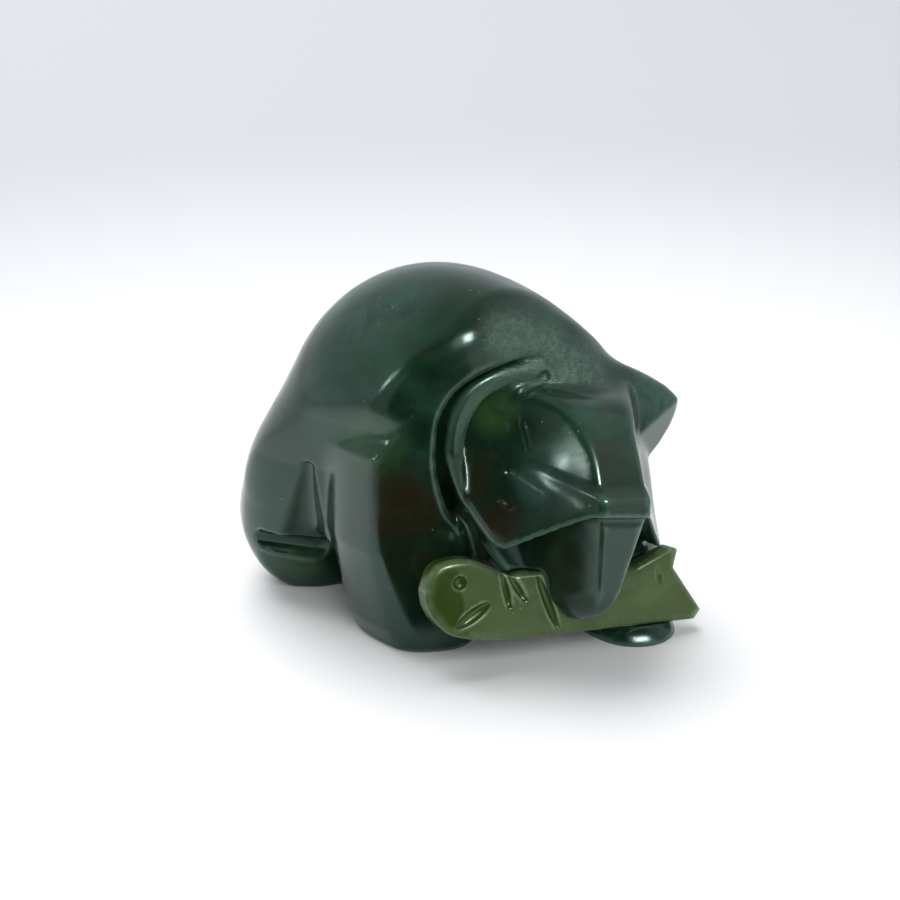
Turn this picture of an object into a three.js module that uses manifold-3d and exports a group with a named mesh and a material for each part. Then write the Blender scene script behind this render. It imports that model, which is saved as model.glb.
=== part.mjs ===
// Jade bear carving with a fish held crosswise in its mouth.
// Millimetres, +Z up. The bear faces -Y, its left side is +X, and it stands on flat soles at z = 0.
// The bear's form is written at a design length and scaled to BEAR_LENGTH.
import * as THREE from 'three';
import { mergeVertices } from 'three/addons/utils/BufferGeometryUtils.js';
import Module from 'manifold-3d';

// Driving sizes
const BEAR_LENGTH = 63;        // brow to rump
const DESIGN_LENGTH = 63;      // length at which the form below is written
const CELL = 1.8;              // facet size of the carved solid
const SETTLE_ROUNDS = 24;      // passes that move each point onto the surface
const SOFT = 0.9;              // rounding of the carved edges of the head
const BACK_TOP = 46.5;         // height of the shoulders, the highest place
const RUMP_WIDTH = 39.8;       // across the trunk over the hind legs
const SHOULDER_WIDTH = 33.8;   // across the trunk over the forelegs
const HAUNCH_SPREAD = 9.4;     // from the middle of the body to the middle of a haunch
const HAUNCH_RADIUS = 12.8;
const HAUNCH_REAR = 28.6;      // rear end of the haunches behind the body's middle
const EAR_SPAN = 34.8;         // across the ruff from ear to ear
const EAR_TOP = 11.6;          // from the middle of the ruff up to the ears
const CHIN_DROP = 17;          // from the middle of the ruff down to its lowest point
const EAR_BACK = 3.4;          // back of the ruff behind its middle surface
const EAR_FLOOR = 1.4;         // depth at which the hollow of the ear stops
const SEAT_GAP = 0.3;          // clearance between the fish and the bear
const FISH_THICKNESS = 4.6;    // at the gills
const FISH_EDGE = 0.7;         // rounding of the fish's edges
const EYE_RADIUS = 0.9;
const EYE_DEPTH = 0.7;
const SOLE_DEPTH = 2;          // the legs are carved this far below the soles
const SOLE_TRIM = 6;           // and a block this deep trims them flat
const FORM_LOW = [-25.3, -39.4, -4.3];   // box that holds the carved form
const FORM_HIGH = [28.0, 34.8, 52.6];

const scale = BEAR_LENGTH / DESIGN_LENGTH;

// Head frame: forward, left and up axes of the turned and tilted head
const HEAD_TURN = THREE.MathUtils.degToRad(-12);
const HEAD_TILT = THREE.MathUtils.degToRad(11.3);
const HEAD_CENTRE = [7.8, -15.9, 32.3];   // middle of the line between the ear tips
const FORWARD = [Math.sin(HEAD_TURN), -Math.cos(HEAD_TURN), 0];
const LEFT = [
  Math.cos(HEAD_TURN) * Math.cos(HEAD_TILT),
  Math.sin(HEAD_TURN) * Math.cos(HEAD_TILT),
  -Math.sin(HEAD_TILT),
];
const UP = [
  Math.cos(HEAD_TURN) * Math.sin(HEAD_TILT),
  Math.sin(HEAD_TURN) * Math.sin(HEAD_TILT),
  Math.cos(HEAD_TILT),
];

// Distance helpers
const dot = (a, b) => a[0] * b[0] + a[1] * b[1] + a[2] * b[2];
const sub = (a, b) => [a[0] - b[0], a[1] - b[1], a[2] - b[2]];
const clamp = (v, lo, hi) => Math.min(Math.max(v, lo), hi);
const softAbs = (x, k) => Math.sqrt(x * x + k * k);

function join(a, b, k) {
  const h = Math.max(k - Math.abs(a - b), 0) / k;
  return Math.min(a, b) - h * h * k * 0.25;
}

function cut(a, b, k) {
  return -join(-a, -b, k);
}

function plane(p, point, normal) {
  return dot(sub(p, point), normal) / Math.hypot(...normal);
}

function ellipsoid(p, centre, radii) {
  const q = sub(p, centre);
  const near = Math.hypot(q[0] / radii[0], q[1] / radii[1], q[2] / radii[2]);
  const slope = Math.hypot(q[0] / radii[0] ** 2, q[1] / radii[1] ** 2, q[2] / radii[2] ** 2);
  return near * (near - 1) / Math.max(slope, 1e-9);
}

function taper(p, a, b, ra, rb) {
  const ab = sub(b, a);
  const t = clamp(dot(sub(p, a), ab) / dot(ab, ab), 0, 1);
  const q = sub(p, [a[0] + ab[0] * t, a[1] + ab[1] * t, a[2] + ab[2] * t]);
  return Math.hypot(...q) - (ra + (rb - ra) * t);
}

function between(x, xs, ys) {
  if (x <= xs[0]) return ys[0];
  for (let i = 1; i < xs.length; i += 1) {
    if (x <= xs[i]) {
      const t = (x - xs[i - 1]) / (xs[i] - xs[i - 1]);
      return ys[i - 1] + (ys[i] - ys[i - 1]) * t;
    }
  }
  return ys[ys.length - 1];
}

// A leg: flattened cross-sections at a few heights, joined straight
function leg(p, stations, squareness = 2.6) {
  const heights = stations.map((s) => s.z);
  const at = (key) => between(p[2], heights, stations.map((s) => s[key]));
  const dx = p[0] - at('x');
  const dy = p[1] - at('y');
  const k = ((Math.abs(dx) / at('rx')) ** squareness + (Math.abs(dy) / at('ry')) ** squareness)
    ** (1 / squareness);
  const r = Math.hypot(dx, dy);
  return r - r / Math.max(k, 1e-6);
}

const RIGHT_FORELEG = [
  { z: -2, x: -9.0, y: -4.2, rx: 5.8, ry: 7.8 },
  { z: 3, x: -9.6, y: -3.5, rx: 7.1, ry: 9.4 },
  { z: 14, x: -10.7, y: -2.9, rx: 7.7, ry: 10.3 },
  { z: 27, x: -9.5, y: -2.6, rx: 8.6, ry: 11.0 },
  { z: 36, x: -4.0, y: -1.0, rx: 8.0, ry: 10.0 },
];
const LEFT_FORELEG = [
  { z: -2, x: 12.8, y: -18.6, rx: 5.4, ry: 5.0 },
  { z: 3, x: 13.2, y: -18.0, rx: 6.2, ry: 5.2 },
  { z: 8, x: 13.5, y: -16.6, rx: 7.0, ry: 5.9 },
  { z: 14, x: 13.7, y: -14.6, rx: 6.8, ry: 6.9 },
  { z: 27, x: 9.5, y: -6.0, rx: 8.0, ry: 10.0 },
  { z: 36, x: 6.0, y: -3.0, rx: 8.0, ry: 10.0 },
];

const FLANK_NORMAL = [-0.9, -0.43, 0];
const LEG_FACE_POINT = [-11.1, -11.9, 0];
const LEG_FACE_NORMAL = [-0.55, -0.82, 0.02];

function trunk(p) {
  const m = [softAbs(p[0], 1.5), p[1], p[2]];
  const rump = ellipsoid(p, [0, 5.9, BACK_TOP - 21.9], [RUMP_WIDTH / 2, 16.9, 21.1]);
  const shoulders = ellipsoid(p, [0, -6.5, BACK_TOP - 17.9], [SHOULDER_WIDTH / 2, 19.7, 17.9]);
  const knee = [HAUNCH_SPREAD, 12.7, 15.2];
  const tail = [HAUNCH_SPREAD - 1.6, HAUNCH_REAR - HAUNCH_RADIUS, 11];
  let haunch = taper(m, knee, tail, HAUNCH_RADIUS - 0.1, HAUNCH_RADIUS);
  haunch = cut(haunch, plane(m, [19.2, 12.6, 11.2], [0.6, -0.6, -0.53]), SOFT);
  let d = join(join(rump, shoulders, 8), haunch, 7.5);
  // flank behind the right foreleg, the leg's flat outer face and the slope down to the head
  const recess = between(p[2], [0, 14, 22, 30, 40], [11.8, 11.8, 13.2, 16.8, 24]);
  d = cut(d, dot(p, FLANK_NORMAL) - recess, 2.5);
  d = cut(d, plane(p, LEG_FACE_POINT, LEG_FACE_NORMAL), 1.4);
  return cut(d, plane(p, [0, -13.5, 41], [0.1, -0.9, 0.42]), 3);
}

function body(p) {
  let right = cut(leg(p, RIGHT_FORELEG), p[2] - 33, 6);
  right = cut(right, plane(p, LEG_FACE_POINT, LEG_FACE_NORMAL), 1.4);
  const paw = ellipsoid(p, [12.8, -21.0, -0.6], [6.3, 7.6, 4.0]);
  const left = join(cut(leg(p, LEFT_FORELEG), p[2] - 31, 6), paw, 1.2);
  let d = join(join(trunk(p), right, 1.6), left, 3);
  // grooves behind the forelegs
  d = cut(d, -taper(p, [-18.3, 7.4, 22], [-18, 10.6, 6], 0.6, 4.3), 1);
  d = cut(d, -taper(p, [20.5, 3, 26], [18, 6, 4], 1, 5), 3);
  // hollow under the belly, lengthwise and from side to side
  d = cut(d, -ellipsoid(p, [1.2, 2, -1], [5.4, 40, 12.5]), 3);
  return cut(d, -ellipsoid(p, [0, 9.6, -1], [60, 3.9, 11.5]), 2.5);
}

// How far the left half of the rim is drawn in, at heights along the head
const LEFT_RIM = [
  [-13, -9.3, -7, -4.8, -0.6, 1, 3],
  [1.1, 1.08, 0.956, 0.913, 0.89, 0.93, 1.05],
];

// Outline of the ruff and ears seen from the front, as a distance to its rim
function rim(l, u, side) {
  const x = l > 0 ? l * between(u, ...LEFT_RIM) : l;
  const power = u > -7.5 ? 3.2 : 2.2;
  const height = u > -7.5 ? EAR_TOP : CHIN_DROP;
  const k = ((Math.abs(2 * x) / EAR_SPAN) ** power + (Math.abs(u + 7.5) / height) ** power) ** (1 / power);
  const r = Math.hypot(x, u + 7.5);
  return cut(r - r / Math.max(k, 1e-6), plane([0, side, u], [0, 13.9, -16.1], [0, 0.87, -0.49]), 3);
}

const CHEEK_NORMAL = [0.5009, 0.7814, 0.3706];
const CHEEK_POINT = [16.6, 3.5, -10.1];
const BROW = [16.6, 0, -10.1];
const LEFT_EAR_TIP = [-0.6, 14.4, -2.4];
const CHEEK_MIDDLE = [6.5, 9.6, -7.6];
const CHEEK_RADIUS = 32;
const CHEEK_DEPTH = 1.6;
const CHEEK_BALL = CHEEK_MIDDLE.map((v, i) => v + CHEEK_NORMAL[i] * (CHEEK_RADIUS - CHEEK_DEPTH));

function bear(p) {
  const q = sub(p, HEAD_CENTRE);
  const h = [dot(q, FORWARD), dot(q, LEFT), dot(q, UP)];
  const [f, l, u] = h;
  const side = softAbs(l, 0.2);
  const g = [f, side, u];
  const edge = rim(l, u, side);

  // ruff, cheeks, forehead and brow
  const lean = -2.2 + Math.max(0, -8 - u) * 0.42;
  const dish = CHEEK_RADIUS - Math.hypot(...sub(g, CHEEK_BALL));
  const cheek = cut(plane(g, CHEEK_POINT, CHEEK_NORMAL), dish, SOFT);
  const roof = join(plane(g, CHEEK_POINT, [0.12, -0.61, -0.79]), CHEEK_POINT[2] - u, SOFT);
  let wedge = cut(cheek, roof, SOFT);
  wedge = cut(wedge, plane(g, BROW, [1, 0, 0.27]), SOFT);
  wedge = cut(wedge, plane(g, BROW, [0.803, 0, 0.597]), SOFT);
  wedge = cut(wedge, plane(g, [11.1, 0, -2.7], [0.559, 0, 0.829]), 1.2);
  wedge = cut(wedge, plane(g, [3.9, 0, 1.1], [0.077, 0, 0.997]), 1.5);
  let ears = f - (lean + 1.5);
  if (l > 0) {
    ears -= 1.5 * clamp(l / 6, 0, 1);
    ears = cut(ears, plane(h, LEFT_EAR_TIP, [0.8, 0.42, -0.2]), SOFT);
    ears = cut(ears, plane(h, LEFT_EAR_TIP, [0.85, 0.05, 0.45]), SOFT);
  }
  let head = join(wedge, ears, SOFT);
  head = cut(head, edge, 1.2);
  head = cut(head, lean - EAR_BACK - f, SOFT);
  head = cut(head, u - 1.6 - 0.12 * l * l, 1.2);
  // hollow of the right ear
  const inset = between(u, [-17, -12, -8, -2, 3], [0.4, 1.2, 2.3, 2.9, 2.7]);
  let hollow = cut(cut(-cheek, edge + inset, SOFT), roof, SOFT);
  hollow = cut(hollow, lean - EAR_FLOOR - f, SOFT);
  head = cut(head, -cut(hollow, l + 1, 1), SOFT);

  // muzzle, lower jaw and neck
  let muzzle = cut(f - 16.5, plane(g, [16.5, 3, -12], [0.33, 1, -0.15]), 0.8);
  muzzle = cut(muzzle, plane(g, [14, 0, -25.6], [0.4, 0, -1]), 4);
  muzzle = cut(muzzle, plane(g, [12, 3.6, -24.2], [0.1, 0.7, -0.75]), 1);
  muzzle = cut(cut(muzzle, u + 8, 1), 1 - f, 1);
  const jaw = ellipsoid(h, [-1, 0, -20], [7, 8.5, 7]);
  const nape = ellipsoid(h, [-7, 0, -6.5], [9, 14, 11.8]);
  const neck = join(nape, taper(h, [-8, 0, -4], [4, 0, -7], 10.5, 4.5), 3);

  // the body is cut back in a channel around the ruff
  const channel = cut(cut(edge - 1.2, -(f + 4.2), 1.5), -17 - u, 2);
  let d = cut(body(p), -channel, 2);
  d = join(d, neck, 4);
  d = join(d, jaw, 2.5);
  d = join(d, head, 1.5);
  return Math.max(join(d, muzzle, 1.2), -SOLE_DEPTH - p[2]);
}

// Closed surface of a form: one point per crossed cell, moved onto the planes that cross it
function carve(form, low, high, cell) {
  const n = [0, 1, 2].map((i) => Math.ceil((high[i] - low[i]) / cell) + 1);
  const id = (i, j, k) => (i * n[1] + j) * n[2] + k;
  const spot = (i, j, k) => [low[0] + i * cell, low[1] + j * cell, low[2] + k * cell];
  const value = new Float64Array(n[0] * n[1] * n[2]);
  for (let i = 0; i < n[0]; i += 1) {
    for (let j = 0; j < n[1]; j += 1) {
      for (let k = 0; k < n[2]; k += 1) value[id(i, j, k)] = form(spot(i, j, k));
    }
  }
  const slope = (p) => {
    const e = 0.04;
    const s = [0, 1, 2].map((a) => {
      const hi = [...p];
      const lo = [...p];
      hi[a] += e;
      lo[a] -= e;
      return form(hi) - form(lo);
    });
    const size = Math.hypot(...s);
    return s.map((v) => v / size);
  };
  const crossing = new Map();
  const cross = (key) => {
    if (!crossing.has(key)) {
      const axis = key % 3;
      const cellId = (key - axis) / 3;
      const k = cellId % n[2];
      const j = ((cellId - k) / n[2]) % n[1];
      const i = ((cellId - k) / n[2] - j) / n[1];
      const a = spot(i, j, k);
      let lo = 0;
      let hi = 1;
      const starts = value[cellId] < 0;
      const along = (t) => a.map((v, m) => v + (m === axis ? t * cell : 0));
      for (let round = 0; round < 10; round += 1) {
        const t = (lo + hi) / 2;
        if ((form(along(t)) < 0) === starts) lo = t;
        else hi = t;
      }
      const c = along((lo + hi) / 2);
      crossing.set(key, { c, normal: slope(c) });
    }
    return crossing.get(key);
  };
  const points = [];
  const owner = new Map();
  const steps = [[1, 0, 0], [0, 1, 0], [0, 0, 1]];
  const inside = (at) => value[id(...at)] < 0;
  const step = (at, axis) => at.map((v, m) => v + steps[axis][m]);
  const edgeKey = (at, axis) => id(...at) * 3 + axis;

  // the crossed edges of a cell, grouped into the separate sheets that pass through it
  const sheets = (cellAt) => {
    const group = new Map();
    const root = (key) => (group.get(key) === key ? key : root(group.get(key)));
    for (let a = 0; a < 3; a += 1) {
      const b = (a + 1) % 3;
      const c = (a + 2) % 3;
      for (const base of [cellAt, step(cellAt, a)]) {
        const corners = [base, step(base, b), step(step(base, b), c), step(base, c)];
        const edges = [edgeKey(base, b), edgeKey(corners[1], c), edgeKey(corners[3], b), edgeKey(base, c)];
        const flags = corners.map(inside);
        const crossed = edges.filter((key, m) => {
          const hit = flags[m] !== flags[(m + 1) % 4];
          if (hit && !group.has(key)) group.set(key, key);
          return hit;
        });
        if (crossed.length === 2) group.set(root(crossed[0]), root(crossed[1]));
        if (crossed.length === 4) {
          for (let m = 0; m < 4; m += 1) {
            if (flags[m]) group.set(root(edges[m]), root(edges[(m + 3) % 4]));
          }
        }
      }
    }
    const found = new Map();
    for (const key of group.keys()) {
      const top = root(key);
      if (!found.has(top)) found.set(top, []);
      found.get(top).push(key);
    }
    return [...found.values()];
  };

  for (let i = 0; i < n[0] - 1; i += 1) {
    for (let j = 0; j < n[1] - 1; j += 1) {
      for (let k = 0; k < n[2] - 1; k += 1) {
        const base = spot(i, j, k);
        const place = new Map();
        for (const keys of sheets([i, j, k])) {
          const hits = keys.map(cross);
          const p = [0, 1, 2].map((m) => hits.reduce((t, x) => t + x.c[m], 0) / hits.length);
          for (let round = 0; round < SETTLE_ROUNDS; round += 1) {
            const move = [0, 0, 0];
            for (const x of hits) {
              const off = dot(x.normal, sub(x.c, p));
              for (let m = 0; m < 3; m += 1) move[m] += x.normal[m] * off;
            }
            for (let m = 0; m < 3; m += 1) {
              const margin = 0.04 * cell;
              p[m] = clamp(p[m] + 0.7 * move[m] / hits.length, base[m] + margin, base[m] + cell - margin);
            }
          }
          for (const key of keys) place.set(key, points.length);
          points.push(p);
        }
        owner.set(id(i, j, k), place);
      }
    }
  }

  const index = [];
  for (let i = 1; i < n[0] - 1; i += 1) {
    for (let j = 1; j < n[1] - 1; j += 1) {
      for (let k = 1; k < n[2] - 1; k += 1) {
        const at = [i, j, k];
        for (let a = 0; a < 3; a += 1) {
          if (inside(at) !== inside(step(at, a))) {
            const b = (a + 1) % 3;
            const c = (a + 2) % 3;
            const ring = [[0, 0], [1, 0], [1, 1], [0, 1]].map(([x, y]) => {
              const near = [...at];
              near[b] -= x;
              near[c] -= y;
              return owner.get(id(...near)).get(edgeKey(at, a));
            });
            const quad = inside(at) ? ring : [...ring].reverse();
            const [p0, p1, p2, p3] = quad.map((v) => points[v]);
            const straight = Math.hypot(...sub(p0, p2)) <= Math.hypot(...sub(p1, p3));
            if (straight) index.push(quad[0], quad[1], quad[2], quad[0], quad[2], quad[3]);
            else index.push(quad[1], quad[2], quad[3], quad[1], quad[3], quad[0]);
          }
        }
      }
    }
  }
  return { points, index };
}

// Fish: outline in its own plane, nose at -X, tail at +X
const FISH_NOSE = [-20.6, -0.7];
const FISH_BACK = [
  [-19.9, 1.9], [-18.3, 3.2], [-15.0, 3.7], [-11.9, 2.9], [-9.0, 1.8], [-6.5, 2.3], [4.2, 2.4], [9.4, 3.4],
];
const FISH_TAIL_TOP = [[14.4, 6.0], [15.9, 5.7]];
const FISH_NOTCH = [15.5, 3.2];
const FISH_TAIL_LOW = [[20.4, -2.4], [19.5, -3.8]];
const FISH_BELLY = [[10.0, -4.8], [0.0, -5.8], [-8.0, -6.7], [-14.9, -6.7], [-18.0, -5.3], [-20.0, -2.9]];
const FISH_THIN = [
  [-21, -12, 5, 15, 21],
  [0.8, 1, 0.96, 0.72, 0.6],
];
const FISH_POSE = new THREE.Matrix4().makeBasis(
  new THREE.Vector3(0.9374, -0.2884, -0.1952),
  new THREE.Vector3(0.2479, 0.1591, 0.9556),
  new THREE.Vector3(-0.2445, -0.9442, 0.2206),
).setPosition(1.68, -22.27, 8.96).premultiply(new THREE.Matrix4().makeScale(scale, scale, scale));
const FISH_FACE_Z = 0.75;  // height of the fish's front face over its pose plane

function vec2(list) {
  return list.map(([x, y]) => new THREE.Vector2(x, y));
}

function fishShape() {
  const shape = new THREE.Shape();
  shape.moveTo(...FISH_NOSE);
  shape.splineThru(vec2(FISH_BACK));
  shape.lineTo(...FISH_TAIL_TOP[0]);
  shape.lineTo(...FISH_TAIL_TOP[1]);
  shape.lineTo(...FISH_NOTCH);
  shape.lineTo(...FISH_TAIL_LOW[0]);
  shape.lineTo(...FISH_TAIL_LOW[1]);
  shape.lineTo(...FISH_BELLY[0]);
  shape.splineThru(vec2([...FISH_BELLY.slice(1), FISH_NOSE]));
  return shape;
}

function fishSolid(grow) {
  const geometry = new THREE.ExtrudeGeometry(fishShape(), {
    depth: FISH_THICKNESS - 2 * FISH_EDGE,
    bevelEnabled: true,
    bevelThickness: FISH_EDGE + grow,
    bevelSize: FISH_EDGE + grow,
    bevelOffset: -FISH_EDGE,
    bevelSegments: 1,
    curveSegments: 2,
  });
  geometry.translate(0, 0, FISH_FACE_Z + FISH_EDGE - FISH_THICKNESS);
  const at = geometry.attributes.position;
  const middle = FISH_FACE_Z - FISH_THICKNESS / 2;
  for (let i = 0; i < at.count; i += 1) {
    const thin = between(at.getX(i), ...FISH_THIN);
    at.setZ(i, middle + (at.getZ(i) - middle) * thin);
  }
  return geometry;
}

// Gouge: a stretched ball sunk into the fish's front face
function gouge(x, y, long, wide, deep, angle) {
  const geometry = new THREE.SphereGeometry(1, 12, 8);
  geometry.scale(long, wide, deep);
  geometry.rotateZ(THREE.MathUtils.degToRad(angle));
  geometry.translate(x, y, FISH_FACE_Z);
  return geometry;
}

const wasm = await Module();
wasm.setup();

// Joined and cut solids are made from closed meshes with shared vertices
function solid(geometry) {
  const bare = geometry.clone();
  bare.deleteAttribute('normal');
  bare.deleteAttribute('uv');
  const merged = mergeVertices(bare, 1e-4);
  return new wasm.Manifold(new wasm.Mesh({
    numProp: 3,
    vertProperties: new Float32Array(merged.attributes.position.array),
    triVerts: new Uint32Array(merged.index.array),
  }));
}

function surface(body3d) {
  const mesh = body3d.getMesh();
  const geometry = new THREE.BufferGeometry();
  geometry.setAttribute('position', new THREE.BufferAttribute(new Float32Array(mesh.vertProperties), 3));
  geometry.setIndex(new THREE.BufferAttribute(new Uint32Array(mesh.triVerts), 1));
  geometry.computeVertexNormals();
  return geometry;
}

function carved() {
  const { points, index } = carve(bear, FORM_LOW, FORM_HIGH, CELL);
  const geometry = new THREE.BufferGeometry();
  geometry.setAttribute('position', new THREE.Float32BufferAttribute(points.flat(), 3));
  geometry.setIndex(index);
  geometry.scale(scale, scale, scale);
  return geometry;
}

const trim = new THREE.BoxGeometry(2 * BEAR_LENGTH, 2 * BEAR_LENGTH, SOLE_TRIM);
trim.translate(0, 0, -SOLE_TRIM / 2);

const seat = fishSolid(SEAT_GAP / scale).applyMatrix4(FISH_POSE);
const bearSolid = solid(carved()).subtract(solid(trim)).subtract(solid(seat));

let fishBody = solid(fishSolid(0));
for (const mark of [
  gouge(-16.2, 0.6, EYE_RADIUS, EYE_RADIUS, EYE_DEPTH, 0),
  gouge(-14.0, -3.6, 2.6, 0.8, 0.6, 38),
  gouge(-9.6, 0.2, 2.4, 0.5, 0.7, -72),
  gouge(-8.0, 0.4, 2.0, 0.5, 0.6, -50),
  gouge(11.8, 2.0, 1.6, 0.5, 0.6, -80),
]) fishBody = fishBody.subtract(solid(mark));

const bearMesh = new THREE.Mesh(
  surface(bearSolid),
  new THREE.MeshStandardMaterial({ color: 0x1d3a2c, roughness: 0.16, metalness: 0 }),
);
bearMesh.name = 'bear';

const fishMesh = new THREE.Mesh(
  surface(fishBody).applyMatrix4(FISH_POSE),
  new THREE.MeshStandardMaterial({ color: 0x5c7440, roughness: 0.22, metalness: 0 }),
);
fishMesh.name = 'fish';

// The origin is under the middle of the whole carving, on the level of its soles
const group = new THREE.Group();
group.add(bearMesh, fishMesh);
const box = new THREE.Box3().setFromObject(group);
for (const mesh of group.children) {
  mesh.position.set(-(box.min.x + box.max.x) / 2, -(box.min.y + box.max.y) / 2, -box.min.z);
}

export default group;
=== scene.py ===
import math

import bpy
import numpy as np
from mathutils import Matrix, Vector


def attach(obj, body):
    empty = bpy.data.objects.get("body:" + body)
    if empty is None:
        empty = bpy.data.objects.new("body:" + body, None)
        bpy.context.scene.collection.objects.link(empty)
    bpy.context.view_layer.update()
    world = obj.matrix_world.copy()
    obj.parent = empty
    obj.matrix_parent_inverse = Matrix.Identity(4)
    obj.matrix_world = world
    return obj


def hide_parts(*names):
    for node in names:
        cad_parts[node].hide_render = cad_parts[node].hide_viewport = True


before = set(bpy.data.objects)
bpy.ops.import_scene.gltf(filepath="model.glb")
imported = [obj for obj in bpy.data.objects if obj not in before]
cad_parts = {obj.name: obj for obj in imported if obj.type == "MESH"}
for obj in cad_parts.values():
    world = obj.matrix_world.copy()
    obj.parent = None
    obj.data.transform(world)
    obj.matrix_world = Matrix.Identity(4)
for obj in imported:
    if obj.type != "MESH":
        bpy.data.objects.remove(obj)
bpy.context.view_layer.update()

MM = 0.001
SHIFT = (-2.9635, 1.9073, 0.0)  # from the form's own coordinates to the frame, mm

BEAR_CELL = 0.31  # mesh size of the bear, mm
FISH_CELL = 0.24  # mesh size of the fish, mm
BLOCK = 4  # cells along a block of the search grid
SOFT = 0.5  # rounding of the head's carved edges
EAR_BACK = 3.4  # from the ears' front edge to their back
EAR_FLOOR = 1.4  # from the ears' front edge to the floor of the hollow
SEAT_GAP = 0.12  # between the fish and its seat in the muzzle
SOLE = 0.0  # height of the soles

# The boxes that hold the bear and the fish, lowest and highest corner
BEAR_BOX = ((-25.0, -37.0, -0.8), (28.0, 30.5, 49.5))
FISH_BOX = ((-22.0, -32.0, -1.0), (22.5, -12.0, 19.0))


# Distances of points, which are given as three rows
def column(v):
    return np.asarray(v, float)[:, None]


def unit(v):
    v = np.asarray(v, float)
    return v / np.linalg.norm(v)


def soft_abs(x, k):
    return np.sqrt(x * x + k * k)


def join(a, b, k):
    """Both forms together, with a fillet of size k."""
    h = np.maximum(k - np.abs(a - b), 0) / k
    return np.minimum(a, b) - h * h * k * 0.25


def cut(a, b, k):
    """What the two forms share, with an edge rounded by k."""
    return -join(-a, -b, k)


def plane(p, point, normal):
    n = unit(normal)
    return n @ p - n @ np.asarray(point, float)


def ellipsoid(p, centre, radii):
    q = (p - column(centre)) / column(radii)
    near = np.sqrt((q * q).sum(0))
    q = q / column(radii)
    slope = np.sqrt((q * q).sum(0))
    return near * (near - 1) / np.maximum(slope, 1e-9)


def taper(p, a, b, ra, rb):
    """A round bar from a to b, of radius ra at a and rb at b."""
    a, b = column(a), column(b)
    ab = b - a
    q = p - a
    t = np.clip((ab * q).sum(0) / (ab * ab).sum(), 0, 1)
    q = q - ab * t
    return np.sqrt((q * q).sum(0)) - (ra + (rb - ra) * t)


def oval(x, y, rx, ry, squareness):
    """Distance to an oval about the origin, of half widths rx and ry."""
    k = ((np.abs(x) / rx) ** squareness + (np.abs(y) / ry) ** squareness) ** (1 / squareness)
    r = np.hypot(x, y)
    return r - r / np.maximum(k, 1e-6)


def leg(p, stations, squareness=2.6):
    """An upright limb of oval sections."""
    z, x, y, rx, ry = np.array(stations, float).T
    at = [np.interp(p[2], z, column_of) for column_of in (x, y, rx, ry)]
    dx, dy = p[0] - at[0], p[1] - at[1]
    return oval(dx, dy, at[2], at[3], squareness)


# The head's turn to the bear's right, its lean, and its own axes: forward, left and up
TURN = math.radians(-12)
TILT = math.radians(11.3)
HEAD_CENTRE = (7.8, -15.9, 32.3)
FORWARD = np.array([math.sin(TURN), -math.cos(TURN), 0])
ACROSS = np.array([math.cos(TURN), math.sin(TURN), 0])
LEFT = ACROSS * math.cos(TILT) - (0, 0, math.sin(TILT))
UP = ACROSS * math.sin(TILT) + (0, 0, math.cos(TILT))
HEAD_AXES = np.stack([FORWARD, LEFT, UP])

# Sections of the forelegs: height, centre x and y, half width in x and in y
RIGHT_FORELEG = (
    (-2, -9.0, -4.2, 5.8, 7.8),
    (3, -9.6, -3.5, 7.1, 9.4),
    (14, -10.7, -2.9, 7.7, 10.3),
    (27, -9.5, -2.6, 8.6, 11.0),
    (36, -4.0, -1.0, 8.0, 10.0),
)
LEFT_FORELEG = (
    (-2, 12.8, -18.6, 5.4, 5.0),
    (3, 13.2, -18.0, 6.2, 5.2),
    (8, 13.5, -16.6, 7.0, 5.9),
    (14, 13.7, -14.6, 6.8, 6.9),
    (27, 9.5, -6.0, 8.0, 10.0),
    (36, 6.0, -3.0, 8.0, 10.0),
)

# The right foreleg's flat outer face, and how far out the flank behind it reaches at each height
LEG_FACE = ((-11.1, -11.9, 0), (-0.55, -0.82, 0.02))
FLANK_HEIGHTS = (0, 14, 22, 30, 40)
FLANK_REACH = (11.8, 11.8, 13.2, 16.8, 24)


def trunk(p):
    m = np.stack([soft_abs(p[0], 1.5), p[1], p[2]])
    rump = ellipsoid(p, (0, 5.9, 24.6), (19.9, 16.9, 21.1))
    shoulders = ellipsoid(p, (0, -6.5, 28.6), (16.9, 19.7, 17.9))
    haunch = taper(m, (9.4, 12.7, 15.2), (7.8, 15.8, 11.0), 12.7, 12.8)
    haunch = cut(haunch, plane(m, (19.2, 12.6, 11.2), (0.6, -0.6, -0.53)), 0.6)
    d = join(join(rump, shoulders, 8), haunch, 7.5)
    flank = -0.9 * p[0] - 0.43 * p[1] - np.interp(p[2], FLANK_HEIGHTS, FLANK_REACH)
    d = cut(d, flank, 3.5)
    d = cut(d, plane(p, *LEG_FACE), 2.2)
    return cut(d, plane(p, (0, -13.5, 41), (0.1, -0.9, 0.42)), 3)


def body(p):
    """Trunk and legs, with the hollows beside the haunches and the tunnels under the belly."""
    right = cut(leg(p, RIGHT_FORELEG), p[2] - 33, 6)
    right = cut(right, plane(p, *LEG_FACE), 1.4)
    paw = ellipsoid(p, (12.8, -21.0, -0.6), (6.3, 7.6, 4.0))
    left = join(cut(leg(p, LEFT_FORELEG), p[2] - 31, 6), paw, 1.2)
    right_hollow = taper(p, (-18.3, 7.4, 22), (-18.0, 10.6, 6), 0.6, 4.3)
    left_hollow = taper(p, (20.5, 3, 26), (18, 6, 4), 1, 5)
    long_tunnel = ellipsoid(p, (1.2, 2, -1), (5.4, 40, 12.5))
    cross_tunnel = ellipsoid(p, (0, 9.6, -1), (60, 3.9, 11.5))
    d = join(join(trunk(p), right, 1.6), left, 3)
    d = cut(d, -right_hollow, 1.0)
    d = cut(d, -left_hollow, 3)
    d = cut(d, -long_tunnel, 3)
    return cut(d, -cross_tunnel, 2.5)


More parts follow.
